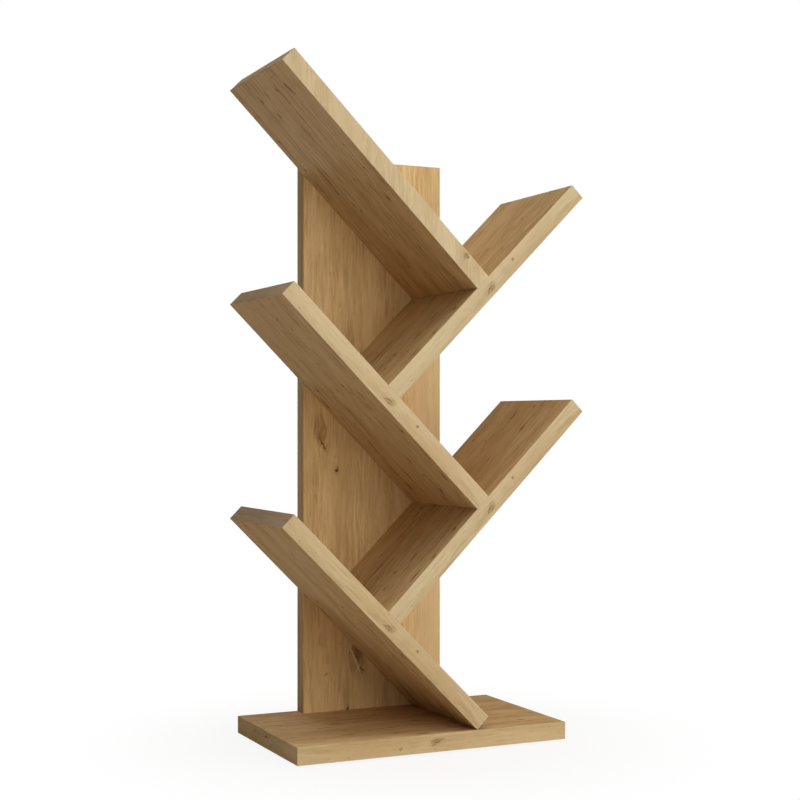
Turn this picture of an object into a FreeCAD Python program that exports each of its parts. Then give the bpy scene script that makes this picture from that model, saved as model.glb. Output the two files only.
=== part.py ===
import FreeCAD, Part
import os

import Sketcher

# A tree shaped bookshelf: a base on four glides, an upright trunk at the back, and five equal shelves.
# The shelves lean by turns to the left and to the right, and each stands square on the one below.
# Millimetres, Z up, the front towards -Y. The origin is on the floor, in the middle of the overall width
# and of the base's depth.

doc = FreeCAD.newDocument("tree_bookshelf")
sheet = doc.addObject("Spreadsheet::Sheet", "sizes")
driving_sizes = {
    # boards of faced chipboard, all of one thickness
    "board_thickness": "22",
    "shelf_length": "366",
    "shelf_depth": "190",
    "trunk_width": "200",
    "base_width": "366",
    # how far the base's front edge stands out in front of the shelves
    "base_lip": "2",
    # how far the trunk goes on above the highest shelf screw
    "trunk_reach": "60",
    # glued strips over the cut edges, with eased corners
    "edging_thickness": "1",
    "edging_round": "0.5",
    # the slope of the shelves on the left, and the lowest foot to the right of the trunk's middle
    "shelf_lean": "45",
    "foot_offset": "57.5",
    # along a shelf on the left, from its foot to the middle of the shelf that stands on it
    "joint_station": "183",
    # the trunk's middle from the origin, because the shelves reach further on the right
    "trunk_offset": "-4.5",
    # confirmat screws: countersunk head, plain collar, and the core of the thread
    "screw_length": "50",
    "screw_head": "10",
    "screw_head_angle": "90",
    "screw_collar": "7",
    "screw_collar_length": "11",
    "screw_core": "4.8",
    "screw_tip_length": "3",
    "screw_tip": "2",
    "socket_width": "4",
    "socket_depth": "2.5",
    # along a shelf from its foot to its two screws, and in from the trunk's sides to the base's two
    "screw_station_low": "40",
    "screw_station_high": "160",
    "base_screw_inset": "45",
    # push-in caps, wider than the screw heads all round
    "cap_margin": "1.5",
    "cap_thickness": "1.2",
    "cap_chamfer": "0.7",
    # fluted beech dowels, sunk into the face of one board and the end of the other, in from the sides
    "dowel_diameter": "8",
    "dowel_length": "34",
    "dowel_chamfer": "1",
    "dowel_face_depth": "13",
    "dowel_inset": "37",
    "base_dowel_inset": "20",
    "flute_count": "8",
    "flute_depth": "0.5",
    # nail-on plastic glides, with the plastic that is left under the nail
    "glide_diameter": "20",
    "glide_height": "3",
    "glide_sole": "1.2",
    "glide_chamfer": "0.8",
    "glide_inset": "30",
    "nail_diameter": "2",
    "nail_length": "13",
    "nail_point": "2",
    # clearances: round a fastener in its bore, round a cap's peg, and past an end
    "bore_play": "0.05",
    "peg_play": "0.2",
    "end_play": "0.5",
}
for row, (name, number) in enumerate(driving_sizes.items(), start=1):
    sheet.set(f"A{row}", name)
    sheet.set(f"B{row}", number)
    sheet.setAlias(f"B{row}", name)
doc.recompute()

THICK = "sizes.board_thickness"
HALF_THICK = "sizes.board_thickness / 2"
HALF_SHELF = "sizes.shelf_depth / 2"
BASE_DEPTH = "(sizes.shelf_depth + sizes.board_thickness + sizes.base_lip)"
BASE_TOP = "(sizes.glide_height + sizes.board_thickness)"
TRUNK_FRONT = f"({BASE_DEPTH} / 2 - sizes.board_thickness)"
PILOT = "(sizes.screw_core + 2 * sizes.bore_play)"
PILOT_DEPTH = "(sizes.screw_length - sizes.board_thickness + sizes.end_play)"
COLLAR_BORE = "(sizes.screw_collar + 2 * sizes.bore_play)"
HEAD_BORE = "(sizes.screw_head + 2 * sizes.bore_play)"
DOWEL_BORE = "(sizes.dowel_diameter + 2 * sizes.bore_play)"
FACE_SOCKET_DEPTH = "(sizes.dowel_face_depth + sizes.end_play)"
END_SOCKET_DEPTH = "(sizes.dowel_length - sizes.dowel_face_depth + sizes.end_play)"
NAIL_BORE = "(sizes.nail_diameter + 2 * sizes.bore_play)"
NAIL_SEAT = "(sizes.glide_height - sizes.glide_sole)"
# an eased edge takes at most nine tenths of its wall
EDGING_ROUND = "min(sizes.edging_round; 0.9 * sizes.edging_thickness)"
CAP_CHAMFER = "min(sizes.cap_chamfer; 0.9 * sizes.cap_thickness)"
UNTURNED = "rotation(0; 0; 0)"
TOUCHING = 1e-6


def sketch_in(body, name, role, lift="0"):
    """An empty sketch on one of the body's own origin planes, lifted along its normal."""
    sketch = body.newObject("Sketcher::SketchObject", f"{body.Name}_{name}")
    plane = next(item for item in body.Origin.OriginFeatures if item.Role == role)
    sketch.AttachmentSupport = [(plane, "")]
    sketch.MapMode = "FlatFace"
    sketch.setExpression("AttachmentOffset.Base.z", lift)
    return sketch


def value_of(expression):
    """The number that an expression of the sheet's sizes has now."""
    return float(sheet.evalExpression(expression))


def bind(sketch, constraint, expression):
    """Add a constraint and tie its value to the sheet."""
    index = sketch.addConstraint(constraint)
    sketch.setExpression(f"Constraints[{index}]", expression)


def hold_point(sketch, geometry, point, across, up):
    """Hold one point of the sketch at two distances from the sketch's origin."""
    bind(sketch, Sketcher.Constraint("DistanceX", -1, 1, geometry, point, value_of(across)), across)
    bind(sketch, Sketcher.Constraint("DistanceY", -1, 1, geometry, point, value_of(up)), up)


def outline(sketch, corners):
    """A closed outline of straight sides through corners given as pairs of expressions."""
    points = [FreeCAD.Vector(value_of(across), value_of(up), 0) for across, up in corners]
    count = len(points)
    for index in range(count):
        sketch.addGeometry(Part.LineSegment(points[index], points[(index + 1) % count]), False)
    for index in range(count):
        sketch.addConstraint(Sketcher.Constraint("Coincident", index, 2, (index + 1) % count, 1))
    for index, (across, up) in enumerate(corners):
        hold_point(sketch, index, 1, across, up)


def rectangle(sketch, left, right, low, high):
    """A rectangle between two distances each way."""
    outline(sketch, [(left, low), (right, low), (right, high), (left, high)])


def circles(sketch, centres, diameter):
    """Equal circles at centres given as pairs of expressions."""
    upright = FreeCAD.Vector(0, 0, 1)
    for across, up in centres:
        middle = FreeCAD.Vector(value_of(across), value_of(up), 0)
        index = sketch.addGeometry(Part.Circle(middle, upright, value_of(diameter) / 2), False)
        bind(sketch, Sketcher.Constraint("Diameter", index, value_of(diameter)), diameter)
        hold_point(sketch, index, 3, across, up)


def pad(body, sketch, length):
    """A solid as thick as length, on the side that the sketch's normal points to."""
    feature = body.newObject("PartDesign::Pad", f"{sketch.Name}_pad")
    feature.Profile = sketch
    feature.setExpression("Length", length)
    doc.recompute()
    return feature


def revolve(body, sketch):
    """A solid turned about the sketch's upright axis."""
    feature = body.newObject("PartDesign::Revolution", f"{sketch.Name}_turned")
    feature.Profile = sketch
    feature.ReferenceAxis = (sketch, ["V_Axis"])
    feature.Angle = 360
    doc.recompute()
    return feature


def check_cut(feature, volume_before):
    """Stop if a cut points away from the solid and takes nothing off."""
    doc.recompute()
    if not feature.Shape.Volume < volume_before - TOUCHING:
        raise RuntimeError(f"{feature.Name} cuts nothing")


def pocket(body, sketch, depth, along_normal=False):
    """A blind cut to a depth, against the sketch's normal or along it."""
    volume_before = body.Shape.Volume
    feature = body.newObject("PartDesign::Pocket", f"{sketch.Name}_pocket")
    feature.Profile = sketch
    feature.setExpression("Length", depth)
    feature.Reversed = along_normal
    check_cut(feature, volume_before)
    return feature


def bores(body, name, role, lift, centres, diameter, depth, along_normal=False):
    """Blind round bores from one face of the body."""
    sketch = sketch_in(body, name, role, lift)
    circles(sketch, centres, diameter)
    pocket(body, sketch, depth, along_normal)


def countersunk_bores(body, name, lift, centres, along_normal=False):
    """Bores right through the board for screws, countersunk for their heads."""
    volume_before = body.Shape.Volume
    sketch = sketch_in(body, name, "XY_Plane", lift)
    circles(sketch, centres, COLLAR_BORE)
    doc.recompute()
    feature = body.newObject("PartDesign::Hole", f"{sketch.Name}_hole")
    feature.Profile = sketch
    doc.recompute()
    feature.ThreadType = "None"
    feature.DepthType = "ThroughAll"
    feature.Reversed = along_normal
    feature.setExpression("Diameter", COLLAR_BORE)
    feature.HoleCutType = "Countersink"
    feature.HoleCutCustomValues = True
    feature.setExpression("HoleCutDiameter", HEAD_BORE)
    feature.setExpression("HoleCutCountersinkAngle", "sizes.screw_head_angle")
    check_cut(feature, volume_before)


def edge_names(feature, wanted):
    """The names of the feature's edges that are wanted."""
    return [f"Edge{count}" for count, edge in enumerate(feature.Shape.Edges, start=1) if wanted(edge)]


def lies_at(edge, axis, expression):
    """Whether the whole edge lies at one place along an axis."""
    place = value_of(expression)
    low, high = (getattr(edge.BoundBox, f"{axis.upper()}{end}") for end in ("Min", "Max"))
    return abs(low - place) < TOUCHING and abs(high - place) < TOUCHING


def strip(name, box, sharp_planes, placement):
    """An edging strip: a thin bar over a board's cut edge, with its outer edges eased.

    box is left, right, low and high in the board's plane. Edges that lie in a sharp plane, an axis and
    a place on it, meet the board or another strip and stay sharp.
    """
    body = doc.addObject("PartDesign::Body", name)
    body.Label = name
    sketch = sketch_in(body, "outline", "XY_Plane")
    rectangle(sketch, *box)
    bar = pad(body, sketch, THICK)
    fillet = body.newObject("PartDesign::Fillet", f"{name}_eased")
    eased = edge_names(bar, lambda edge: not any(lies_at(edge, *plane) for plane in sharp_planes))
    fillet.Base = (bar, eased)
    fillet.setExpression("Radius", EDGING_ROUND)
    body.setExpression("Placement", placement)
    return body


def board(name, length, depth, placement, foot, head, low, high):
    """A board from x = 0 to its length, centred across its depth, with its lower face at z = 0.

    foot, head, low and high name its edging at x = 0, at the far end and along its two sides. The side
    strips run the whole length, and a board with no foot edging is cut bare there. Returns the body of
    the board and the bodies of its strips by name.
    """
    edge = "sizes.edging_thickness"
    inner_foot = edge if foot else "0"
    inner_head = f"{length} - {edge}"
    outer_low, inner_low = f"-{depth} / 2", f"{edge} - {depth} / 2"
    inner_high, outer_high = f"{depth} / 2 - {edge}", f"{depth} / 2"
    body = doc.addObject("PartDesign::Body", name)
    body.Label = name
    sketch = sketch_in(body, "outline", "XY_Plane")
    rectangle(sketch, inner_foot, inner_head, inner_low, inner_high)
    pad(body, sketch, THICK)
    body.setExpression("Placement", placement)

    bare_end = [] if foot else [("x", "0")]
    cross_ends = [("y", inner_low), ("y", inner_high)]
    shapes = {
        low: (("0", length, outer_low, inner_low), [("y", inner_low), *bare_end]),
        high: (("0", length, inner_high, outer_high), [("y", inner_high), *bare_end]),
        head: ((inner_head, length, inner_low, inner_high), [("x", inner_head), *cross_ends]),
    }
    if foot:
        shapes[foot] = (("0", inner_foot, inner_low, inner_high), [("x", inner_foot), *cross_ends])
    strips = {
        side: strip(f"{name}_{side}_edging", box, sharp_planes, placement)
        for side, (box, sharp_planes) in shapes.items()
    }
    doc.recompute()
    return body, strips


def group(name, pattern, placements):
    """One node of equal pieces: a copy of the pattern at each placement, given as an expression."""
    copies = []
    for count, placement in enumerate(placements, start=1):
        copy = doc.addObject("App::Link", f"{name}_{count}")
        copy.LinkedObject = pattern
        copy.setExpression("LinkPlacement", placement)
        copies.append(copy)
    together = doc.addObject("Part::Compound", name)
    together.Label = name
    together.Links = copies
    doc.recompute()
    return together


# The screw: its head flush at z = 0, its shank down to -Z, and a hexagon socket in the head.
screw = doc.addObject("PartDesign::Body", "screw")
screw_half = sketch_in(screw, "half", "XZ_Plane")
head_height = "(sizes.screw_head - sizes.screw_collar) / 2 / tan(sizes.screw_head_angle / 2)"
outline(
    screw_half,
    [
        ("0", "0"),
        ("sizes.screw_head / 2", "0"),
        ("sizes.screw_collar / 2", f"-{head_height}"),
        ("sizes.screw_collar / 2", "-sizes.screw_collar_length"),
        ("sizes.screw_core / 2", "-sizes.screw_collar_length"),
        ("sizes.screw_core / 2", "sizes.screw_tip_length - sizes.screw_length"),
        ("sizes.screw_tip / 2", "-sizes.screw_length"),
        ("0", "-sizes.screw_length"),
    ],
)
revolve(screw, screw_half)
socket = sketch_in(screw, "socket", "XY_Plane")
corner = "sizes.socket_width / 2 / cos(30)"
outline(socket, [(f"{corner} * cos({turn})", f"{corner} * sin({turn})") for turn in range(0, 360, 60)])
pocket(screw, socket, "sizes.socket_depth")

# The cap: a thin disc on the board with its rim chamfered, and a peg that pushes into the screw's socket.
cap = doc.addObject("PartDesign::Body", "cap")
cap_disc = sketch_in(cap, "disc", "XY_Plane")
circles(cap_disc, [("0", "0")], "sizes.screw_head + 2 * sizes.cap_margin")
pad(cap, cap_disc, "sizes.cap_thickness")
cap_peg = sketch_in(cap, "peg", "XY_Plane")
circles(cap_peg, [("0", "0")], "sizes.socket_width - 2 * sizes.peg_play")
cap_stem = pad(cap, cap_peg, "sizes.socket_depth - sizes.end_play")
cap_stem.Reversed = True
doc.recompute()
cap_rim = cap.newObject("PartDesign::Chamfer", "cap_rim")
cap_rim.Base = (cap_stem, edge_names(cap_stem, lambda edge: lies_at(edge, "z", "sizes.cap_thickness")))
cap_rim.setExpression("Size", CAP_CHAMFER)

# The dowel: z = 0 where two boards meet, the longer part up in the end of the board that stands there.
dowel = doc.addObject("PartDesign::Body", "dowel")
dowel_foot = "-sizes.dowel_face_depth"
dowel_head = "sizes.dowel_length - sizes.dowel_face_depth"
dowel_round = sketch_in(dowel, "round", "XY_Plane", dowel_foot)
circles(dowel_round, [("0", "0")], "sizes.dowel_diameter")
dowel_rod = pad(dowel, dowel_round, "sizes.dowel_length")
dowel_ends = dowel.newObject("PartDesign::Chamfer", "dowel_ends")
end_edges = edge_names(
    dowel_rod, lambda edge: lies_at(edge, "z", dowel_foot) or lies_at(edge, "z", dowel_head)
)
dowel_ends.Base = (dowel_rod, end_edges)
dowel_ends.setExpression("Size", "sizes.dowel_chamfer")
doc.recompute()
flute = sketch_in(dowel, "flute", "XY_Plane", dowel_foot)
beyond_rim = "sizes.dowel_diameter / 2 + sizes.flute_depth"
outline(
    flute,
    [
        ("sizes.dowel_diameter / 2 - sizes.flute_depth", "0"),
        (beyond_rim, "-2 * sizes.flute_depth"),
        (beyond_rim, "2 * sizes.flute_depth"),
    ],
)
first_flute = pocket(dowel, flute, "sizes.dowel_length", along_normal=True)
flutes = dowel.newObject("PartDesign::PolarPattern", "dowel_flutes")
flutes.Originals = [first_flute]
flutes.Axis = (dowel_round, ["N_Axis"])
flutes.Angle = 360
flutes.setExpression("Occurrences", "sizes.flute_count")
dowel.Tip = flutes
check_cut(flutes, first_flute.Shape.Volume)

# The glide: a disc under the base with its lower rim chamfered, and a blind hole for its nail.
glide = doc.addObject("PartDesign::Body", "glide")
glide_disc = sketch_in(glide, "disc", "XY_Plane")
circles(glide_disc, [("0", "0")], "sizes.glide_diameter")
glide_plate = pad(glide, glide_disc, "sizes.glide_height")
glide_rim = glide.newObject("PartDesign::Chamfer", "glide_rim")
glide_rim.Base = (glide_plate, edge_names(glide_plate, lambda edge: lies_at(edge, "z", "0")))
glide_rim.setExpression("Size", "sizes.glide_chamfer")
doc.recompute()
bores(glide, "nail", "XY_Plane", "sizes.glide_height", [("0", "0")], NAIL_BORE, NAIL_SEAT)

# The nail: its blunt end at z = 0 in the glide, its point up in the base.
nail = doc.addObject("PartDesign::Body", "nail")
nail_half = sketch_in(nail, "half", "XZ_Plane")
outline(
    nail_half,
    [
        ("0", "0"),
        ("sizes.nail_diameter / 2", "0"),
        ("sizes.nail_diameter / 2", "sizes.nail_length - sizes.nail_point"),
        ("0", "sizes.nail_length"),
    ],
)
revolve(nail, nail_half)

# The five shelves, from the bottom up. Each is drawn from its foot along +X with its lower face at z = 0.
# Those that lean left are turned half round, so their rear edge is on the other side of the drawing.
shelf_sides = ["bottom_left", "lower_right", "middle_left", "upper_right", "top_left"]
lean_left = "rotation(180; -sizes.shelf_lean; 0)"
square_on = "rotation(180; -90; 0)"
# on the right the joint lies where it puts the left shelves one above another
station_on_left = "sizes.joint_station"
station_on_right = f"((sizes.joint_station + {HALF_THICK}) / tan(sizes.shelf_lean) - {HALF_THICK})"
# the eased corner of the lowest foot touches the base, so it comes lower than a sharp one would
eased_by = f"{EDGING_ROUND} * (sin(sizes.shelf_lean) + cos(sizes.shelf_lean) - 1)"
shelf_middle = f"{TRUNK_FRONT} - {HALF_SHELF}"
lowest_foot = f"vector(sizes.trunk_offset + sizes.foot_offset; {shelf_middle}; {BASE_TOP} - {eased_by})"
screw_stations = ["sizes.screw_station_low", "sizes.screw_station_high"]
dowel_rows = [f"sizes.dowel_inset - {HALF_SHELF}", f"{HALF_SHELF} - sizes.dowel_inset"]

nodes = []
screw_placements = []
dowel_placements = []
placement = f"placement({lowest_foot}; {lean_left})"
for order, side in enumerate(shelf_sides):
    leans_left = order % 2 == 0
    stands_on_base = order == 0
    is_topmost = order == len(shelf_sides) - 1
    name = f"{side}_shelf"
    low, high = ("rear", "front") if leans_left else ("front", "rear")
    shelf, strips = board(
        name, "sizes.shelf_length", "sizes.shelf_depth", placement, "foot", "head", low, high
    )
    nodes += [shelf, *strips.values()]

    # two pilots in the rear edge, for the screws whose heads lie in the trunk's rear face
    rear = f"-{HALF_SHELF}" if leans_left else HALF_SHELF
    behind = f"{rear} - {THICK}" if leans_left else f"{rear} + {THICK}"
    heads_out = "rotation(0; 0; 90)" if leans_left else "rotation(0; 0; -90)"
    pilots = [(station, HALF_THICK) for station in screw_stations]
    for body in (shelf, strips["rear"]):
        bores(body, "pilots", "XZ_Plane", f"-({rear})", pilots, PILOT, PILOT_DEPTH, not leans_left)
    for station in screw_stations:
        seat = f"vector({station}; {behind}; {HALF_THICK})"
        screw_placements.append(f"{name}.Placement * placement({seat}; {heads_out})")

    # two dowel sockets in a foot that stands on a shelf
    if not stands_on_base:
        sockets = [(row, HALF_THICK) for row in dowel_rows]
        for body in (shelf, strips["foot"]):
            bores(body, "end_sockets", "YZ_Plane", "0", sockets, DOWEL_BORE, END_SOCKET_DEPTH, True)

    # two dowels in the upper face, and the next shelf square on it there
    if not is_topmost:
        station = station_on_left if leans_left else station_on_right
        sockets = [(station, row) for row in dowel_rows]
        bores(shelf, "face_sockets", "XY_Plane", THICK, sockets, DOWEL_BORE, FACE_SOCKET_DEPTH)
        for row in dowel_rows:
            seat = f"vector({station}; {row}; {THICK})"
            dowel_placements.append(f"{name}.Placement * placement({seat}; {UNTURNED})")
        next_foot = f"vector({station} - {HALF_THICK}; 0; {THICK})"
        placement = f"{name}.Placement * placement({next_foot}; {square_on})"

shelf_screws = group("shelf_screws", screw, screw_placements)
screw_caps = group("screw_caps", cap, screw_placements)
shelf_dowels = group("shelf_dowels", dowel, dowel_placements)

# The trunk stands on the base's rear edge: drawn along +X from its foot, its rear face on the +Z side.
# Its bores take their places from the shelf screws, and its length from the highest of them.
screw_heights = [f"{copy.Name}.LinkPlacement.Base.z / 1 mm - {BASE_TOP}" for copy in shelf_screws.Links]
screw_offsets = [
    f"{copy.Name}.LinkPlacement.Base.x / 1 mm - sizes.trunk_offset" for copy in shelf_screws.Links
]
trunk_foot = f"vector(sizes.trunk_offset; {TRUNK_FRONT}; {BASE_TOP})"
trunk, strips = board(
    "trunk",
    f"({screw_heights[-1]} + sizes.trunk_reach)",
    "sizes.trunk_width",
    f"placement({trunk_foot}; rotation(0; -90; -90))",
    foot=None,
    head="top",
    low="left",
    high="right",
)
nodes += [trunk, *strips.values()]
countersunk_bores(trunk, "screw_bores", THICK, list(zip(screw_heights, screw_offsets)))
half_trunk = "sizes.trunk_width / 2"
base_screw_rows = [f"sizes.base_screw_inset - {half_trunk}", f"{half_trunk} - sizes.base_screw_inset"]
base_dowel_rows = [f"sizes.base_dowel_inset - {half_trunk}", f"{half_trunk} - sizes.base_dowel_inset"]
pilots = [(row, HALF_THICK) for row in base_screw_rows]
sockets = [(row, HALF_THICK) for row in base_dowel_rows]
bores(trunk, "pilots", "YZ_Plane", "0", pilots, PILOT, PILOT_DEPTH, True)
bores(trunk, "end_sockets", "YZ_Plane", "0", sockets, DOWEL_BORE, END_SOCKET_DEPTH, True)

# The base lies on the glides, drawn along +X from its left end. Screws come up through it into the trunk.
base_left_end = "vector(sizes.trunk_offset - sizes.base_width / 2; 0; sizes.glide_height)"
base, strips = board(
    "base",
    "sizes.base_width",
    BASE_DEPTH,
    f"placement({base_left_end}; {UNTURNED})",
    foot="left",
    head="right",
    low="front",
    high="rear",
)
nodes += [base, *strips.values()]
trunk_line = f"{TRUNK_FRONT} + {HALF_THICK}"
screw_seats = [(f"sizes.base_width / 2 + {row}", trunk_line) for row in base_screw_rows]
dowel_seats = [(f"sizes.base_width / 2 + {row}", trunk_line) for row in base_dowel_rows]
glide_seats = [
    (across, up)
    for across in ("sizes.glide_inset", "sizes.base_width - sizes.glide_inset")
    for up in (f"sizes.glide_inset - {BASE_DEPTH} / 2", f"{BASE_DEPTH} / 2 - sizes.glide_inset")
]
nail_depth = f"sizes.nail_length - {NAIL_SEAT} + sizes.end_play"
countersunk_bores(base, "screw_bores", "0", screw_seats, along_normal=True)
bores(base, "face_sockets", "XY_Plane", THICK, dowel_seats, DOWEL_BORE, FACE_SOCKET_DEPTH)
bores(base, "nail_bores", "XY_Plane", "0", glide_seats, NAIL_BORE, nail_depth, True)


def on_base(seats, lift, turn=UNTURNED):
    """Placements at seats on the base, at a height above its underside."""
    return [f"base.Placement * placement(vector({across}; {up}; {lift}); {turn})" for across, up in seats]


base_screws = group("base_screws", screw, on_base(screw_seats, "0", "rotation(0; 0; 180)"))
base_dowels = group("base_dowels", dowel, on_base(dowel_seats, THICK))
floor_glides = group("floor_glides", glide, on_base(glide_seats, "-sizes.glide_height"))
glide_nails = group("glide_nails", nail, on_base(glide_seats, f"-{NAIL_SEAT}"))
nodes += [shelf_screws, screw_caps, shelf_dowels, base_screws, base_dowels, floor_glides, glide_nails]

doc.recompute()
for item in doc.Objects:
    if "Invalid" in item.State or "Error" in item.State:
        raise RuntimeError(f"{item.Name} did not build: {item.State}")
for node in nodes:
    if node.Shape.isNull() or not node.Shape.isValid():
        raise RuntimeError(f"{node.Label} has no valid shape")

os.makedirs("parts", exist_ok=True)
for node in nodes:
    node.Shape.exportStep(f"parts/{node.Label}.step")
print(len(nodes), "nodes,", sum(len(node.Shape.Solids) for node in nodes), "solids")
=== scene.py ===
import math

import bmesh
import bpy
from mathutils import Matrix, Vector


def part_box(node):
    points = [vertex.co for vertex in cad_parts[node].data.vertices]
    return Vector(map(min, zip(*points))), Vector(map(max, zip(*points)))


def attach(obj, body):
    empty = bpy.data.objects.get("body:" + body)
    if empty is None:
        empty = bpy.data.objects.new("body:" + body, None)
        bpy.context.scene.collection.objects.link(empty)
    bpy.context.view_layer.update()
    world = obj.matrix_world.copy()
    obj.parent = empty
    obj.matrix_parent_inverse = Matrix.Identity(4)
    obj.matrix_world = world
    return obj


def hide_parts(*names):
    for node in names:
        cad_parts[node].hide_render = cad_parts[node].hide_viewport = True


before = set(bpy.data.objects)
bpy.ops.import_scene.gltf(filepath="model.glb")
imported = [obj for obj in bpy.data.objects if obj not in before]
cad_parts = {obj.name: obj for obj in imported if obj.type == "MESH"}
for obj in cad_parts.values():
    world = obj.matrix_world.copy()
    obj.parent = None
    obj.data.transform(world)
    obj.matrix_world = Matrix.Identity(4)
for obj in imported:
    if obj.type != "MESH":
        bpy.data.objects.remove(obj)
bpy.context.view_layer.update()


# Base: one chipboard panel faced on both sides with printed oak paper, whose grain runs along its width.
# The trunk and the lowest shelf stand on it.
class Shade:
    """One value, colour or vector in a finish. Sums and products of shades add Math nodes."""

    def __init__(self, socket):
        self.socket = socket

    def node(self, kind, settings, sockets, out=0):
        """A node in the same finish: its settings first, then its sockets get values or links."""
        tree = self.socket.id_data
        made = tree.nodes.new(kind)
        for key, setting in settings.items():
            if key == "stops":
                ramp = made.color_ramp.elements
                ramp.remove(ramp[1])
                ramp[0].position, ramp[0].color = setting[0][0], (*setting[0][1], 1)
                for place, colour in setting[1:]:
                    ramp.new(place).color = (*colour, 1)
            else:
                setattr(made, key, setting)
        for key, value in sockets.items():
            if isinstance(value, Shade):
                tree.links.new(value.socket, made.inputs[key])
            else:
                made.inputs[key].default_value = value
        return Shade(made.outputs[out])

    def math(self, operation, *terms):
        return self.node("ShaderNodeMath", {"operation": operation}, dict(enumerate(terms)))

    def __add__(self, other):
        return self.math("ADD", self, other)

    def __sub__(self, other):
        return self.math("SUBTRACT", self, other)

    def __rsub__(self, other):
        return self.math("SUBTRACT", other, self)

    def __mul__(self, other):
        return self.math("MULTIPLY", self, other)

    __radd__ = __add__
    __rmul__ = __mul__


def rise(shade, low, high):
    """0 where the shade is at low, 1 where it is at high, with a soft step between."""
    return shade.node(
        "ShaderNodeMapRange",
        {"interpolation_type": "SMOOTHSTEP"},
        {"Value": shade, "From Min": low, "From Max": high, "To Min": 0.0, "To Max": 1.0},
    )


def blend(amount, ground, colour):
    """The ground colour taken towards another by an amount."""
    sockets = {0: amount, 6: ground, 7: (*colour, 1)}
    return amount.node("ShaderNodeMix", {"data_type": "RGBA"}, sockets, out=2)


def stretch(vector, scale, offset):
    """The vector times the scale, axis by axis, moved by the offset."""
    sockets = {0: vector, 1: scale, 2: offset}
    return vector.node("ShaderNodeVectorMath", {"operation": "MULTIPLY_ADD"}, sockets)


def start_finish(name):
    """A new material, its surface shader and the place on the piece in metres."""
    material = bpy.data.materials.new(name)
    material.use_nodes = True
    nodes = material.node_tree.nodes
    place = Shade(nodes.new("ShaderNodeTexCoord").outputs["Object"])
    return material, nodes["Principled BSDF"], place


def paint(surface, **inputs):
    """Sets or links the surface shader's sockets, named with _ for a space."""
    for key, value in inputs.items():
        socket = surface.inputs[key.replace("_", " ")]
        if isinstance(value, Shade):
            surface.id_data.links.new(value.socket, socket)
        else:
            socket.default_value = value


def cover(node, material):
    """Gives a CAD node that material all over."""
    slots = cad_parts[node].data.materials
    slots.clear()
    slots.append(material)


RIGHT, BACK, UP = (1, 0, 0), (0, 1, 0), (0, 0, 1)
MM_PER_METRE = 1000


def lay_grain(place, along, across, zero):
    """Millimetres along the grain, across it and into the board, counted from the point zero."""
    along, across = Vector(along), Vector(across)
    turn = Matrix((along, across, along.cross(across)))
    return place.node(
        "ShaderNodeMapping",
        {"vector_type": "POINT"},
        {
            "Vector": place,
            "Location": turn @ Vector(zero) * -MM_PER_METRE,
            "Rotation": turn.to_euler(),
            "Scale": (MM_PER_METRE, MM_PER_METRE, MM_PER_METRE),
        },
    )


def clouds(grain, scale, offset, detail=2.0, roughness=0.5):
    """Soft noise stretched by the scale, in cycles per millimetre along, across and into the board.

    Another offset takes another part of the noise.
    """
    stretched = stretch(grain, scale, (offset, offset * 0.7, offset * 1.3))
    return grain.node(
        "ShaderNodeTexNoise",
        {"noise_dimensions": "3D"},
        {"Vector": stretched, "Scale": 1.0, "Detail": detail, "Roughness": roughness},
    )


MARK_DEPTH = 9.0


def oval(grain, centre, reach, width, tilt):
    """The place in an oval mark on the wood, whose middle is 0 and whose rim is 1 from there."""
    return grain.node(
        "ShaderNodeMapping",
        {"vector_type": "TEXTURE"},
        {
            "Vector": grain,
            "Location": centre,
            "Rotation": (0, 0, math.radians(tilt)),
            "Scale": (reach, width, MARK_DEPTH),
        },
    )


def length(vector):
    """How far the vector's end is from 0."""
    return vector.node("ShaderNodeVectorMath", {"operation": "LENGTH"}, {0: vector}, out="Value")


def within(local, core=0.3):
    """1 in an oval's core, fading to 0 at its rim."""
    return rise(length(local), 1.0, core)


def shaded(tones, *factors):
    """The same print, darker or lighter by a factor for red, green and blue."""
    return [(place, tuple(part * by for part, by in zip(colour, factors))) for place, colour in tones]


BOARD_TONES = [
    (0.15, (0.444, 0.282, 0.122)),
    (0.5, (0.607, 0.417, 0.203)),
    (0.85, (0.717, 0.529, 0.290)),
]
STREAK_BROWN = (0.25, 0.135, 0.046)
KNOT_BROWN = (0.095, 0.038, 0.014)
HEART_RED = (0.45, 0.25, 0.108)
PALE_SAP = (0.77, 0.59, 0.33)
# the pale of a rubbed arris, which also serves as a painted highlight
WORN_AND_LIT_ARRIS = (0.76, 0.63, 0.42)
board_thickness = 22.0
# in millimetres: how far the rims of marks are frayed, along and across, and how far growth lines wander
FRAY = Vector((7, 2.2, 0))
WANDER = 9.0
# the stain round a knot or a speck, as multiples of its own length, width and strength
STAIN_LENGTH, STAIN_WIDTH, STAIN_STRENGTH = 3.2, 1.7, 0.6
# the pale line on an arris, rubbed wear with a painted highlight, from and to so many millimetres from
# the strip's edge
ARRIS_FROM, ARRIS_TO = 0.8, 0.1
# the depth of the paper's relief in metres, and its faint sheen
PRINT_RELIEF = 0.0001
PRINT_SHEEN = 0.02


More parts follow.
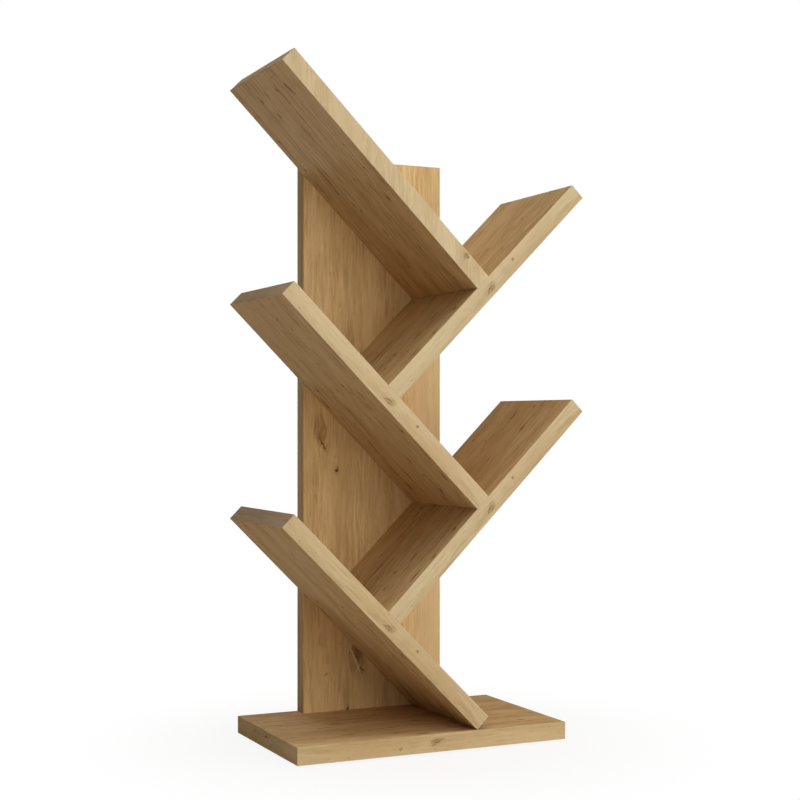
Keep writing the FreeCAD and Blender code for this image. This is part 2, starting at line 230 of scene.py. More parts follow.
def oak(name, along, across, zero, seed, tones, flaws, figure=1.0, streaks=1.0, strip=None):
    """Printed oak: faint bands, growth lines, pores, short brown streaks, pips and listed flaws.

    The flaws are listed by the depth in millimetres of the face that they are on. A flaw is
    (kind, along, across, length, width, tilt, strength) in millimetres and degrees, and its length and
    width are counted from its middle. The figure is how strongly the growth lines show, and the streaks
    how many short dark ones lie between the listed flaws. Prints with one seed are alike. An edging has
    a strip, the direction across it, and a pale line along its arrises: rubbed wear and a painted
    highlight.
    """
    material, surface, place = start_finish(name)
    grain = lay_grain(place, along, across, zero)
    ragged = grain.node(
        "ShaderNodeTexNoise", {}, {"Vector": grain, "Scale": 0.35, "Detail": 2.0}, out="Color"
    )
    jitter = stretch(ragged, FRAY, FRAY * -0.5)
    frayed = grain.node("ShaderNodeVectorMath", {"operation": "ADD"}, {0: grain, 1: jitter})
    marks = [(depth, *flaw) for depth, listed in flaws.items() for flaw in listed]

    # the growth lines wander, and part round a swirl
    wander = (clouds(grain, (0.006, 0.014, 0.03), seed + 3.1) - 0.5) * WANDER
    for depth, kind, s, t, reach, width, tilt, strength in marks:
        if kind == "swirl":
            halo = oval(grain, (s, t, depth), reach, width, tilt)
            side = halo.node("ShaderNodeSeparateXYZ", {}, {0: halo}, out="Y")
            wander = wander - within(halo) * side * (width * strength)
    sideways = grain.node("ShaderNodeCombineXYZ", {}, {"Y": wander})
    flow = grain.node("ShaderNodeVectorMath", {"operation": "ADD"}, {0: grain, 1: sideways})

    bands = clouds(flow, (0.0022, 0.032, 0.03), seed, 1.0)
    lines = clouds(flow, (0.021, 0.25, 0.06), seed + 1.7, 4.0, 0.68)
    fibre = clouds(flow, (0.045, 1.2, 0.3), seed + 5.3, 2.0, 0.6)
    dashes = clouds(flow, (0.09, 1.7, 0.3), seed + 9.2, 1.0)
    veins = clouds(flow, (0.019, 0.2, 0.08), seed + 12.6, 3.0, 0.62)
    patches = clouds(grain, (0.009, 0.026, 0.03), seed + 15.1, 1.0)
    # some cells have a dark pip in the middle, and each pip a size of its own
    cells = frayed.node(
        "ShaderNodeTexVoronoi",
        {"voronoi_dimensions": "2D"},
        {"Vector": stretch(frayed, (0.016, 0.03, 0), (seed, seed * 0.6, 0)), "Scale": 1.0},
        out="Distance",
    )
    lot = cells.node("ShaderNodeSeparateColor", {}, {0: Shade(cells.socket.node.outputs["Color"])})
    pips = rise(cells - rise(lot, 0.5, 1.0) * 0.06, 0.0, -0.03)
    pores = rise(dashes, 0.57, 0.70) * rise(lines, 0.60, 0.42)

    soaked = rise(lines, 0.66, 0.40) * 0.6 + 0.4
    stain = rise(veins, 0.55, 0.74) * rise(patches, 0.40, 0.58) * streaks
    dark = pips * (0.55 * streaks)
    heart = rise(patches, 0.50, 0.74) * 0.35
    pale = rise(patches, 0.42, 0.28) * 0.15
    for depth, kind, s, t, reach, width, tilt, strength in marks:
        if kind == "swirl":
            continue
        # a sliver is a straight split, so its rim isn't frayed
        spot = oval(grain if kind == "sliver" else frayed, (s, t, depth), reach, width, tilt)
        # a ring runs along both sides of an eye and is open at its ends
        if kind == "ring":
            side = spot.node("ShaderNodeSeparateXYZ", {}, {0: spot}, out="Y")
            rim = rise(length(spot), 1.0, 0.9) * rise(length(spot), 0.72, 0.84)
            stain = stain + rim * rise(spot.math("ABSOLUTE", side), 0.35, 0.75) * strength
        elif kind == "stain":
            stain = stain + within(spot) * soaked * strength
        elif kind == "heart":
            heart = heart + within(spot) * soaked * strength
        elif kind == "sliver":
            pale = pale + within(spot) * strength
        else:
            dark = dark + within(spot) * strength
        if kind in ("knot", "speck"):
            shadow = oval(frayed, (s, t, depth), reach * STAIN_LENGTH, width * STAIN_WIDTH, tilt)
            stain = stain + within(shadow) * soaked * (strength * STAIN_STRENGTH)

    # some places are plain and some are full of lines
    lined = rise(clouds(grain, (0.008, 0.03, 0.03), seed + 21.4, 1.0), 0.36, 0.62) * 0.9 + 0.5
    combed = (lines - 0.5 + (fibre - 0.5) * 0.45) * lined + (veins - 0.5) * 0.45
    tone = combed * figure + (bands - 0.5) * 0.65 + 0.5
    colour = tone.node("ShaderNodeValToRGB", {"stops": tones}, {0: tone})
    colour = blend(rise(heart, 0.0, 1.2), colour, HEART_RED)
    colour = blend(pores * 0.3, colour, STREAK_BROWN)
    colour = blend(rise(stain, 0.0, 1.4), colour, STREAK_BROWN)
    colour = blend(rise(dark, 0.0, 1.1), colour, KNOT_BROWN)
    colour = blend(pale, colour, PALE_SAP)
    if strip:
        offset = place.node(
            "ShaderNodeVectorMath", {"operation": "DOT_PRODUCT"}, {0: place, 1: strip}, out="Value"
        )
        offset = offset * MM_PER_METRE - Vector(zero).dot(Vector(strip)) * MM_PER_METRE
        half = board_thickness / 2
        arris = rise(offset.math("ABSOLUTE", offset), half - ARRIS_FROM, half - ARRIS_TO)
        # a pale line along the arrises: rubbed wear and a painted highlight
        rubbed_and_lit = arris * rise(clouds(grain, (0.04, 0.3, 0.3), seed + 17.9), 0.42, 0.62)
        colour = blend(rubbed_and_lit * 0.45, colour, WORN_AND_LIT_ARRIS)

    relief = (fibre - 0.5) * 0.5 + (lines - 0.5) * 0.4 - pores - dark * 1.2
    bump = relief.node(
        "ShaderNodeBump", {}, {"Strength": 0.35, "Distance": PRINT_RELIEF, "Height": relief}
    )
    roughness = pores * 0.12 + (lines - 0.5) * 0.12 + 0.68
    paint(surface, Base_Color=colour, Roughness=roughness, Normal=bump, Specular_IOR_Level=PRINT_SHEEN)
    return material


base_low, base_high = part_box("base")
base_flaws = [
    ("speck", -48, -80, 4.0, 2.3, 15, 0.9),
    ("stain", -20, -97, 13, 3.2, 4, 1.2),
    ("stain", -95, 5, 13, 4, 3, 1.1),
    ("speck", -52, 19, 3.6, 1.6, 20, 0.6),
    ("stain", -42, 27, 9, 3, 5, 0.8),
    ("speck", -160, 22, 2.8, 1.8, 10, 0.6),
    ("stain", 135, -70, 10, 3, 8, 1.2),
    ("stain", -120, -33, 52, 1.8, 0, 0.9),
    ("stain", 120, -45, 60, 1.6, 0, 1.0),
    ("speck", -74, -100, 2.8, 1.8, 25, 0.6),
    ("stain", -5, -33, 7, 3, 12, 0.7),
    ("stain", 148, 30, 6, 3, 0, 0.6),
]
base_oak = oak(
    "oak print on the base", RIGHT, BACK, (0, 0, base_high.z), 0.0,
    shaded(BOARD_TONES, 1.0, 0.965, 0.9), {0: base_flaws}, figure=1.25, streaks=1.4,
)
cover("base", base_oak)


# Base edging: four strips of 1 mm plastic printed like the panel, glued round the sawn edges.
# Their corners are eased, and a fine pale line is painted along every arris, partly rubbed wear and
# partly a painted highlight.
EDGING_TONES = [
    (0.15, (0.461, 0.336, 0.169)),
    (0.5, (0.615, 0.479, 0.275)),
    (0.85, (0.715, 0.584, 0.369)),
]
# the side strips get a darker, warmer copy of the edging print: painted shade
SHADED_SIDE_TONES = shaded(EDGING_TONES, 0.95, 0.9, 0.83)
base_middle = (base_low.z + base_high.z) / 2
# every front strip but the top one is cut from one roll at the same repeat of its print
FRONT_SEED = 20.0
# where that print starts on the base, in metres from the panel's left end
BASE_PRINT_START = 0.002
strip_flaws = [
    ("stain", 181, 0.8, 20, 10.5, 8, 0.42),
    ("stain", 177, 0, 10, 6.5, 20, 0.32),
    ("stain", 184.5, 2.6, 10.5, 1.1, 27, 0.62),
    ("stain", 177, -0.8, 7.5, 1.0, 36, 0.42),
    ("stain", 180, 4.4, 9, 1.0, 6, 0.42),
    ("stain", 131, -3.1, 2.4, 3.4, -20, 1.0),
    ("stain", 150, 0, 15, 7, 0, 0.4),
    ("stain", 30, 2, 30, 4, 0, 0.35),
    ("stain", 62, 1.8, 2.6, 1.6, 0, 0.5),
    ("stain", 339.5, 6.3, 2.2, 1.6, 0, 0.8),
]
base_front_flaws = strip_flaws + [("stain", 62.1, -7.8, 1.8, 1.8, 0, 1.1)]
base_front_left = (base_low.x + BASE_PRINT_START, base_low.y, base_middle)
base_end_flaws = [
    ("stain", -12, 4.4, 24, 2.6, -3, 0.7),
    ("stain", -0.2, 3.7, 9, 3.2, 0, 0.7),
    ("speck", -17, -5.2, 2.6, 1.8, 0, 0.6),
    ("stain", 44, 3.3, 14, 2.4, 0, 0.7),
]
# the base's front strip is a darker, warmer copy of the edging print: partly its own print, partly
# painted shade low down
base_front_oak = oak(
    "oak print on the base front", RIGHT, UP, base_front_left, FRONT_SEED,
    shaded(EDGING_TONES, 0.99, 0.95, 0.87), {0: base_front_flaws}, figure=0.5, streaks=0.15, strip=UP,
)
base_end_oak = oak(
    "oak print on the base ends", BACK, UP, (base_low.x, 0, base_middle), 24.0,
    SHADED_SIDE_TONES, {0: base_end_flaws}, figure=0.8, streaks=0.5, strip=UP,
)
for side, finish in (
    ("front", base_front_oak), ("rear", base_front_oak), ("left", base_end_oak), ("right", base_end_oak)
):
    cover(f"base_{side}_edging", finish)


# Trunk: an upright panel of the same board, screwed and dowelled to the base at its foot.
# The shelves are screwed to its front face, its grain runs upright, and strips cover its sides and top.
# the end strips get a darker copy of the edging print: painted shade
SHADED_END_TONES = shaded(EDGING_TONES, 0.8, 0.75, 0.8)
trunk_low, trunk_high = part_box("trunk")
trunk_front_flaws = [
    ("swirl", 343, -57.4, 30, 12, 0, 0.7),
    ("knot", 343, -57.4, 3.6, 3.2, 0, 1.2),
    ("heart", 343, -57.4, 11, 6, 0, 0.5),
    ("swirl", 384, -78, 40, 18, -14, 0.75),
    ("heart", 400, -80, 31, 20, -8, 0.62),
    ("heart", 393, -84, 17, 10, 12, 0.3),
    ("stain", 404, -77, 16, 11, -12, 0.3),
    ("stain", 394, -85, 15, 8, 10, 0.32),
    ("stain", 410, -86, 9, 4, -20, 0.25),
    ("heart", 379, -77, 22, 9, -28, 0.5),
    ("crack", 378.2, -77.3, 15, 1.3, -29, 0.85),
    ("crack", 388.5, -81, 4, 1.4, 10, 0.4),
    ("stain", 373, -74.5, 15, 3.4, -28, 0.5),
    ("ring", 384, -77, 26, 13, -14, 0.2),
    ("stain", 404, -88, 10, 2, -16, 0.35),
    ("stain", 396, -72, 12, 2, 12, 0.4),
    ("stain", 381, -67, 14, 1.8, -4, 0.4),
    ("swirl", 92, -30, 48, 16, -21, 0.6),
    ("heart", 90, -27, 42, 19, -21, 0.7),
    ("heart", 58, -45, 36, 17, -8, 0.5),
    ("stain", 103, -28.5, 16, 10, -16, 1.1),
    ("stain", 93, -23, 17, 7, -16, 0.6),
    ("crack", 105.5, -32.5, 7, 4.4, -20, 0.4),
    ("crack", 103, -28, 6, 1.6, -50, 0.4),
    ("crack", 91, -26.5, 13, 2.0, -21, 0.6),
    ("crack", 77.5, -21.4, 6, 1.6, -28, 0.75),
    ("crack", 76.4, -18.4, 1.5, 2.8, 0, 0.55),
    ("stain", 100, -39.5, 13, 4, -20, 0.6),
    ("stain", 78, -34, 24, 4.4, -22, 0.6),
    ("sliver", 87.5, -29.5, 36, 1.5, -22.3, 1.0),
    # a broad pale band down the trunk's right side: partly pale sap, partly painted light where nothing
    # shades it
    ("sliver", 260, 98, 760, 66, 0, 0.6),
    ("speck", 74.4, -71.7, 3.0, 1.3, 58, 0.7),
    ("speck", 67.6, -65.3, 1.8, 1.5, 0, 0.5),
    ("speck", 113.7, -52.6, 2.0, 1.8, 0, 0.6),
    ("speck", 26, -41.6, 3.2, 3.0, 0, 0.8),
    ("stain", 36, -41, 16, 4, 0, 0.35),
    ("heart", 119, -78, 16, 9, 0, 0.6),
    ("heart", 93, -69, 12, 6, 0, 0.5),
    ("stain", 60, -86, 45, 3, 0, 0.4),
    ("speck", 118, 72, 1.8, 1.8, 0, 0.5),
    ("speck", 560, 40, 3.0, 2.0, 10, 0.6),
    ("stain", 640, -20, 26, 3, 0, 0.6),
]
trunk_rear_flaws = [
    ("swirl", 170, 35, 34, 14, 0, 0.7),
    ("knot", 170, 35, 4.5, 3.4, 0, 0.9),
    ("heart", 170, 35, 16, 8, 0, 0.6),
    ("stain", 480, -40, 40, 3, 2, 0.7),
    ("swirl", 612, 53, 30, 12, 8, 0.7),
    ("knot", 610, 52, 3.2, 2.6, 15, 0.8),
    ("crack", 622, 55, 10, 0.9, 8, 0.6),
    ("speck", 330, -70, 2.6, 2.0, 0, 0.7),
]
trunk_flaws = {0: trunk_front_flaws, board_thickness: trunk_rear_flaws}
# the trunk's print is lighter than the shelves': partly a paler board, partly painted light on its front
trunk_oak = oak(
    "oak print on the trunk", UP, RIGHT, (0, trunk_low.y, 0), 40.0,
    shaded(BOARD_TONES, 1.18, 1.17, 1.11), trunk_flaws, figure=0.95, streaks=0.5,
)
cover("trunk", trunk_oak)
trunk_middle = (trunk_low.y + trunk_high.y) / 2
trunk_side_flaws = [
    ("stain", 350, 0, 30, 5, 0, 0.5),
    ("speck", 465, -3, 3, 1.4, 0, 0.6),
]
trunk_side_oak = oak(
    "oak print on the trunk sides", UP, BACK, (trunk_low.x, trunk_middle, 0), 44.0,
    SHADED_SIDE_TONES, {0: trunk_side_flaws}, figure=0.8, streaks=0.5, strip=BACK,
)
trunk_top_oak = oak(
    "oak print on the trunk top", RIGHT, BACK, (0, trunk_middle, trunk_high.z), 47.0,
    SHADED_END_TONES, {}, figure=0.8, streaks=0.5, strip=BACK,
)
for side, finish in (("left", trunk_side_oak), ("right", trunk_side_oak), ("top", trunk_top_oak)):
    cover(f"trunk_{side}_edging", finish)


# Shelves: five equal panels leaning at 45 degrees, left and right in turn, each standing square on the
# one below. The grain runs from foot to head, and strips cover all four sawn edges.
SLANT = math.sqrt(0.5)
left_lean, right_lean = Vector((-SLANT, 0, SLANT)), Vector((SLANT, 0, SLANT))
edging_thickness = 1.0
half_board = board_thickness / 2 / MM_PER_METRE
# from the panel's outermost corners to the lowest corner of the whole board, its edging included
corner_inset = (board_thickness - edging_thickness) * SLANT / MM_PER_METRE
corner_drop = edging_thickness * SLANT / MM_PER_METRE
# where the front print starts on a right shelf, in metres from its foot
RIGHT_PRINT_START = 0.3655
FIRST_SEED, SEED_STEP = 60.0, 7.3
panel_flaws = [
    ("stain", 57, -93, 15, 4, 0, 1.0),
    ("speck", 92, -97, 7, 2.2, 20, 0.7),
    ("speck", 137, -90, 5, 2.8, 8, 0.9),
    ("stain", 175, -92, 10, 3.5, 10, 0.7),
    ("stain", 120, -56, 40, 3, 0, 0.7),
    ("stain", 180, -59, 13, 3.6, 0, 0.9),
    ("speck", 30, -46, 4.6, 2.4, 0, 0.8),
    ("stain", 57, -36, 5, 7, 0, 0.8),
    ("stain", 14, -31, 9, 4, 0, 0.6),
    ("crack", 203, -43, 7, 1.6, 60, 0.6),
    ("heart", 206, -42, 10, 8, 20, 0.6),
    ("speck", 216, -36, 3.2, 3, 0, 0.8),
    ("stain", 255, -23, 6, 6, 0, 0.7),
    ("heart", 232, -22, 34, 12, 0, 0.5),
    ("stain", 285, -35, 13, 4, 0, 0.45),
    ("speck", 313, -40, 3, 2.8, 0, 0.7),
    ("stain", 62, 15.5, 52, 3.4, 0, 0.7),
    ("speck", 27, 13, 4, 2.4, 0, 0.5),
    ("stain", 58, 16, 13, 4, 0, 0.6),
    ("stain", 33, 46, 16, 5.5, 0, 0.9),
    ("stain", 172, 12, 18, 4.4, 0, 0.7),
    ("stain", 84, 31, 6, 5, 30, 0.5),
    ("stain", 312, 11, 40, 3.2, 0, 0.5),
    ("stain", 312, -12, 14, 3, 0, 0.45),
    ("stain", 161, 61, 6, 3, 40, 0.6),
    ("speck", 210, 57, 3.6, 3, 0, 0.95),
    ("stain", 187, 72, 20, 5, 4, 1.2),
    ("speck", 363, -54, 3.4, 2.4, 0, 0.6),
]
top_panel_flaws = [
    ("stain", 315, -36, 64, 2.6, -2, 1.2),
    ("speck", 337, -33, 4.4, 2.2, 20, 0.7),
    ("stain", 60, -32, 46, 4, 0, 0.6),
    ("stain", 192, -33, 9, 3, 0, 0.7),
    ("stain", 216, -32, 6, 3, -20, 0.6),
    ("stain", 180, -95, 13, 4, 14, 1.1),
    ("speck", 130, -96, 3, 2, 30, 0.5),
    ("speck", 154, -77, 4, 3.2, 0, 1.0),
    ("speck", 203, -81, 3.6, 2.2, 0, 0.8),
    ("speck", 240, -79, 2.2, 2.8, 0, 0.6),
    ("stain", 275, -75, 16, 3, 8, 0.6),
    ("stain", 330, -65, 15, 4.4, 8, 1.1),
    ("speck", 338, -63, 4, 2.2, 0, 0.6),
    ("speck", 148, 16, 3, 2.4, 0, 0.8),
    ("stain", 160, 21, 7, 5, 0, 0.8),
    ("stain", 52, 19, 5, 4, 0, 0.8),
    ("stain", 72, 16, 5, 5, 0, 0.6),
    ("stain", 110, 1, 11, 4, 0, 0.9),
    ("stain", 210, 34, 36, 4, -4, 0.8),
    ("speck", 183, 38, 7, 2.2, 0, 0.7),
    ("speck", 307, 15, 5, 2.8, 10, 0.7),
    ("speck", 333, 27, 5, 2.2, 0, 0.9),
    ("speck", 228, 69, 4.6, 2.6, 0, 0.9),
    ("stain", 195, 70, 30, 5, 0, 0.8),
    ("stain", 262, 72, 30, 3, 2, 0.7),
    ("speck", 278, 72, 3.2, 2.6, 0, 0.8),
]
top_front_flaws = [
    ("stain", 31.8, -21.9, 7.5, 5.5, 45, 0.7),
    ("stain", 29.5, -19.5, 1.2, 3.6, 30, 1.0),
    ("stain", 34, -24, 1.2, 3.6, 60, 1.0),
    ("stain", 30, -28, 16, 4, 0, 0.4),
]
# each shelf's lean, the marks on its panel and on its front strip, and that strip's shades and figure;
# the shades are partly the print's own and partly painted light, lighter and paler towards the top
shelves = {
    "bottom_left_shelf": (left_lean, panel_flaws, strip_flaws, (1.0, 0.975, 0.94), 0.85),
    "lower_right_shelf": (right_lean, panel_flaws, strip_flaws, (1.03, 1.045, 1.055), 0.85),
    "middle_left_shelf": (left_lean, panel_flaws, strip_flaws, (1.07, 1.075, 1.09), 0.5),
    "upper_right_shelf": (right_lean, panel_flaws, strip_flaws, (1.05, 1.085, 1.11), 0.5),
    "top_left_shelf": (left_lean, top_panel_flaws, top_front_flaws, (1.06, 1.075, 1.1), 0.55),
}
shelf_feet = {}
for number, (shelf, (lean, flaws, front_flaws, print_and_light_shades, figure)) in enumerate(shelves.items()):
    seed = FIRST_SEED + SEED_STEP * number
    low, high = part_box(shelf)
    foot_x = low.x + corner_inset if lean == right_lean else high.x - corner_inset
    foot = Vector((foot_x, 0, low.z - corner_drop))
    upward = Vector((-lean.x, 0, lean.z))
    shelf_feet[shelf] = foot, lean, upward

    # the marks lie on the face that is seen: the lower one on the left, the upper one on the right
    seen_face = board_thickness if lean == right_lean else 0.0
    panel_oak = oak(
        f"oak print on the {shelf}", lean, BACK, foot, seed,
        BOARD_TONES, {seen_face: flaws}, figure=1.4, streaks=1.25,
    )
    cover(shelf, panel_oak)
    strip_front = low.y - edging_thickness / MM_PER_METRE
    edge_middle = foot + upward * half_board + Vector((0, strip_front, 0))
    # the front print starts at the foot on the left and near the head on the right
    front_along, front_across, front_zero, front_seed = lean, -upward, edge_middle, FRONT_SEED
    if lean == right_lean:
        front_along, front_zero = -lean, edge_middle + lean * RIGHT_PRINT_START
    # the top strip was cut from an upright print, so its grain crosses it aslant
    if shelf == "top_left_shelf":
        front_along, front_across, front_seed = UP, RIGHT, seed + 2.4
    # the front strip's shades: partly its own print, partly painted light that makes the upper strips
    # lighter
    front_oak = oak(
        f"oak print on the {shelf} front", front_along, front_across, front_zero, front_seed,
        shaded(EDGING_TONES, *print_and_light_shades), {0: front_flaws}, figure, streaks=0.15, strip=upward,
    )
    rear_oak = oak(
        f"oak print on the {shelf} rear", lean, upward, edge_middle, seed + 3.9,
        EDGING_TONES, {}, figure=0.7, streaks=0.5, strip=upward,
    )
    end_oak = oak(
        f"oak print on the {shelf} ends", BACK, upward, edge_middle, seed + 5.1,
        SHADED_END_TONES, {}, figure=0.8, streaks=0.5, strip=upward,
    )
    for side, finish in (("front", front_oak), ("rear", rear_oak), ("foot", end_oak), ("head", end_oak)):
        cover(f"{shelf}_{side}_edging", finish)


# Dowels: fluted pegs of steamed beech, glued half into one board and half into the next.
# Eight lie in the shelves' feet and two in the trunk's foot.
BEECH_TONES = [(0.2, (0.50, 0.30, 0.17)), (0.8, (0.66, 0.45, 0.28))]
RAY_BROWN = (0.36, 0.19, 0.10)


def beech():
    """Beech: pinkish brown, with faint rings and short dark rays along the grain."""
    material, surface, place = start_finish("steamed beech")
    grain = lay_grain(place, UP, RIGHT, (0, 0, 0))
    rays = clouds(grain, (0.5, 2.2, 2.2), 3.0, 2.0, 0.6)
    rings = clouds(grain, (0.02, 0.5, 0.5), 8.0, 2.0)
    tone = (rings - 0.5) * 0.9 + 0.5
    colour = tone.node("ShaderNodeValToRGB", {"stops": BEECH_TONES}, {0: tone})
    colour = blend(rise(rays, 0.58, 0.70) * 0.5, colour, RAY_BROWN)
    bump = rays.node("ShaderNodeBump", {}, {"Strength": 0.3, "Distance": 0.0002, "Height": rays})
    paint(surface, Base_Color=colour, Roughness=rays * 0.2 + 0.55, Normal=bump, Specular_IOR_Level=0.2)
    return material


beech_finish = beech()
for node in ("shelf_dowels", "base_dowels"):
    cover(node, beech_finish)


# Screws and nails: one-piece connector screws and glide nails of steel, bright zinc plated.
# Their heads lie flush in countersunk holes, and the shelf screws' heads are capped.
ZINC_TONES = [(0.3, (0.50, 0.51, 0.52)), (0.7, (0.66, 0.66, 0.64))]


def zinc_plate():
    """Zinc: a bright metal with fine crystals and soft smears."""
    material, surface, place = start_finish("bright zinc plate")
    grain = lay_grain(place, RIGHT, BACK, (0, 0, 0))
    crystals = clouds(grain, (1.6, 1.6, 1.6), 2.0, 2.0, 0.6)
    smears = clouds(grain, (0.25, 0.25, 0.25), 6.0, 2.0)
    colour = smears.node("ShaderNodeValToRGB", {"stops": ZINC_TONES}, {0: smears})
    bump = crystals.node("ShaderNodeBump", {}, {"Strength": 0.2, "Distance": 0.0001, "Height": crystals})
    roughness = smears * 0.2 + crystals * 0.15 + 0.2
    paint(surface, Base_Color=colour, Metallic=1.0, Roughness=roughness, Normal=bump)
    return material


zinc_finish = zinc_plate()
for node in ("shelf_screws", "base_screws", "glide_nails"):
    cover(node, zinc_finish)


# Screw caps: ten low domes of oak-coloured plastic on the back of the trunk, each with a peg
# that is pushed into the hexagon socket of a screw.
def moulded(name, deep, light, scale):
    """Moulded plastic: a faint flow of the melt, a fine spark-eroded grain and a few pale scuffs."""
    material, surface, place = start_finish(name)
    grain = lay_grain(place, RIGHT, BACK, (0, 0, 0))
    flow = clouds(grain, (scale, scale, scale), 4.0, 3.0, 0.55)
    stipple = clouds(grain, (2.4, 2.4, 2.4), 9.0, 2.0, 0.6)
    scuffs = clouds(grain, (0.15, 2.6, 0.6), 14.0, 2.0, 0.6)
    colour = flow.node("ShaderNodeValToRGB", {"stops": [(0.3, deep), (0.7, light)]}, {0: flow})
    colour = blend(rise(scuffs, 0.62, 0.74) * 0.2, colour, tuple(0.6 * part + 0.3 for part in light))
    bump = stipple.node("ShaderNodeBump", {}, {"Strength": 0.25, "Distance": 0.00015, "Height": stipple})
    paint(surface, Base_Color=colour, Roughness=scuffs * 0.2 + 0.35, Normal=bump, Specular_IOR_Level=0.4)
    return material


cap_radius, cap_height, cap_rim = 6.5, 1.2, 0.35
peg_radius, peg_length = 1.8, 2.0
screw_stations = (40.0, 160.0)
dome_points, cap_sides = 6, 32
cap_profile = [
    (0, -peg_length),
    (peg_radius, -peg_length),
    (peg_radius, 0),
    (cap_radius, 0),
    (cap_radius, cap_rim),
]
for step in range(1, dome_points + 1):
    angle = math.radians(90 * step / dome_points)
    dome_height = cap_rim + (cap_height - cap_rim) * math.sin(angle)
    cap_profile.append((cap_radius * math.cos(angle), dome_height))
cap_shape = bmesh.new()
for foot, lean, upward in shelf_feet.values():
    for station in screw_stations:
        seat = foot + lean * (station / MM_PER_METRE) + upward * half_board
        seat.y = trunk_high.y
        rim = [
            cap_shape.verts.new(seat + Vector((radius, height, 0)) / MM_PER_METRE)
            for radius, height in cap_profile
        ]
        outline = [cap_shape.edges.new(pair) for pair in zip(rim, rim[1:])]
        bmesh.ops.spin(
            cap_shape,
            geom=rim + outline,
            cent=seat,
            axis=BACK,
            angle=math.tau,
            steps=cap_sides,
            use_merge=True,
        )
bmesh.ops.remove_doubles(cap_shape, verts=cap_shape.verts, dist=1e-6)
bmesh.ops.recalc_face_normals(cap_shape, faces=cap_shape.faces)
for face in cap_shape.faces:
    face.smooth = True
cap_mesh = bpy.data.meshes.new("domed_screw_caps")
cap_shape.to_mesh(cap_mesh)
cap_shape.free()
cap_mesh.set_sharp_from_angle(angle=math.radians(40))
oak_plastic = moulded(
    "oak coloured plastic", deep=(0.42, 0.275, 0.115), light=(0.50, 0.335, 0.15), scale=0.3
)
cap_mesh.materials.append(oak_plastic)
caps = bpy.data.objects.new("domed_screw_caps", cap_mesh)
bpy.context.scene.collection.objects.link(caps)
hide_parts("screw_caps")
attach(caps, "root")


# Floor glides: four discs of brown plastic, each nailed up into the base near a corner.
# They keep the panel off a damp floor and let it slide.
brown_plastic = moulded(
    "brown plastic", deep=(0.07, 0.042, 0.026), light=(0.11, 0.066, 0.042), scale=0.2
)
cover("floor_glides", brown_plastic)


# Camera: level, to the left of the front at about half the height of the trunk, with a long lens.
# Its frame is shifted up and the camera isn't tilted, so that upright edges stay upright.
camera = bpy.data.cameras.new("camera")
camera.sensor_width = 36
camera.lens = 68.96
camera.shift_y = 0.0253
camera_stand = bpy.data.objects.new("camera", camera)
camera_stand.location = (-0.84015, -1.78903, 0.40956)
camera_stand.rotation_euler = (math.radians(90), 0, math.radians(-25.04))
bpy.context.scene.collection.objects.link(camera_stand)
bpy.context.scene.camera = camera_stand
bpy.context.scene.view_settings.view_transform = "Standard"


# Studio: a plain pale floor, one wide lamp at the front, one high on each side and a narrow one behind,
# with a dim reddish room round them. To the camera the floor and the room are white.
LAMP_AIM = Vector((0, 0, 0.42))
LAMP_REACH = 2.6


def lamp(name, azimuth, height, width, depth, level, spread=180):
    """A soft lamp aimed at the middle of the trunk. At level 1 a colour facing it shows as written."""
    a, e = math.radians(azimuth), math.radians(height)
    out = Vector((math.sin(a) * math.cos(e), -math.cos(a) * math.cos(e), math.sin(e)))
    light = bpy.data.lights.new(name, "AREA")
    light.shape = "RECTANGLE"
    light.size, light.size_y = width, depth
    light.spread = math.radians(spread)
    # a narrow spread gathers the light, so less of it is needed
    gathered = 1 - light.spread / 2 / math.tan(light.spread / 2)
    light.energy = level * (math.pi * LAMP_REACH) ** 2 * gathered
    stand = bpy.data.objects.new(name, light)
    stand.location = LAMP_AIM + out * LAMP_REACH
    stand.rotation_euler = (-out).to_track_quat("-Z", "Y").to_euler()
    bpy.context.scene.collection.objects.link(stand)


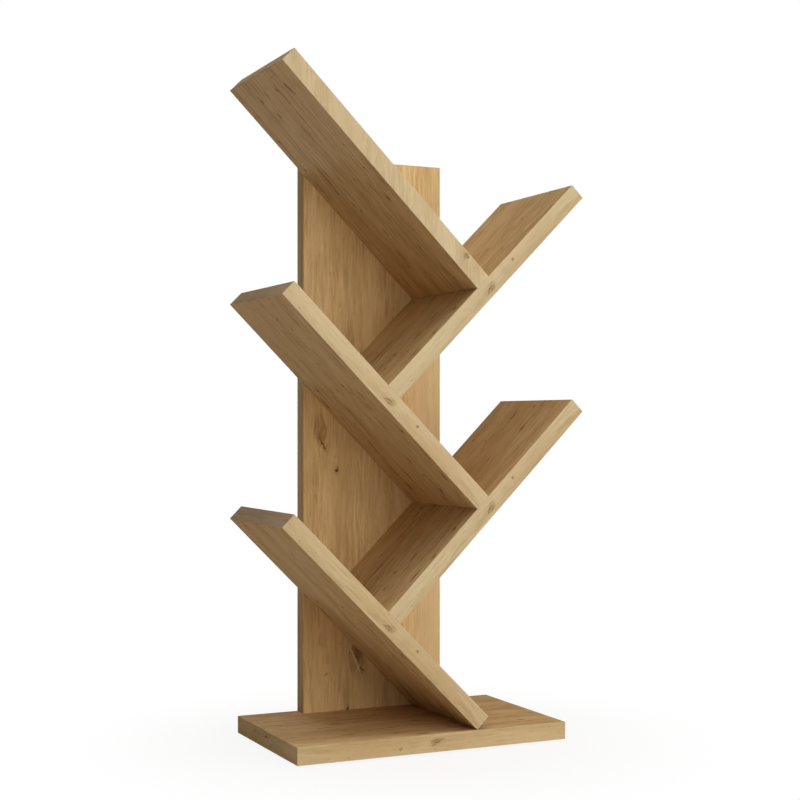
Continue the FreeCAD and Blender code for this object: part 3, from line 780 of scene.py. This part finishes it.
lamp("front lamp", azimuth=15, height=8, width=2.8, depth=1.4, level=0.6)
lamp("high right lamp", azimuth=60, height=62, width=1.4, depth=1.4, level=0.36)
lamp("high left lamp", azimuth=-60, height=62, width=1.4, depth=1.4, level=0.24)
lamp("rear lamp", azimuth=180, height=0, width=0.8, depth=0.6, level=0.7, spread=50)


def shown_white(place):
    """1 for what the camera sees straight, in a gloss or through a clear piece, and 0 for light."""
    rays = [
        place.node("ShaderNodeLightPath", {}, {}, out=f"Is {kind} Ray")
        for kind in ("Camera", "Glossy", "Transmission")
    ]
    return place.math("MAXIMUM", place.math("MAXIMUM", rays[0], rays[1]), rays[2])


floor_mesh = bpy.data.meshes.new("floor")
floor_shape = bmesh.new()
bmesh.ops.create_grid(floor_shape, x_segments=1, y_segments=1, size=15)
floor_shape.to_mesh(floor_mesh)
floor_shape.free()
floor = bpy.data.objects.new("floor", floor_mesh)
bpy.context.scene.collection.objects.link(floor)
floor_finish, floor_surface, floor_place = start_finish("pale floor")
paint(floor_surface, Base_Color=(0.8, 0.75, 0.68, 1), Roughness=0.9)
# near the object the floor keeps some of its own shading, and with it the shadow
shadow_near, shadow_far = 0.12, 0.45
kept_shading = 0.12
away = rise(length(floor_place), shadow_near, shadow_far)
whitened = shown_white(floor_place) * (away * kept_shading + (1 - kept_shading))
white = floor_place.node("ShaderNodeEmission", {}, {"Color": (1, 1, 1, 1), "Strength": 1.0})
floor_mix = floor_place.node(
    "ShaderNodeMixShader", {}, {0: whitened, 1: Shade(floor_surface.outputs[0]), 2: white}
)
floor_tree = floor_finish.node_tree
floor_tree.links.new(floor_mix.socket, floor_tree.nodes["Material Output"].inputs["Surface"])
floor_mesh.materials.append(floor_finish)

room = bpy.data.worlds.new("room")
bpy.context.scene.world = room
room.use_nodes = True
dim = Shade(room.node_tree.nodes["Background"].outputs[0])
paint(room.node_tree.nodes["Background"], Color=(1.0, 0.58, 0.3, 1), Strength=0.07)
bright = dim.node("ShaderNodeBackground", {}, {"Color": (1, 1, 1, 1), "Strength": 1.0})
room_mix = dim.node("ShaderNodeMixShader", {}, {0: shown_white(dim), 1: dim, 2: bright})
room.node_tree.links.new(room_mix.socket, room.node_tree.nodes["World Output"].inputs["Surface"])
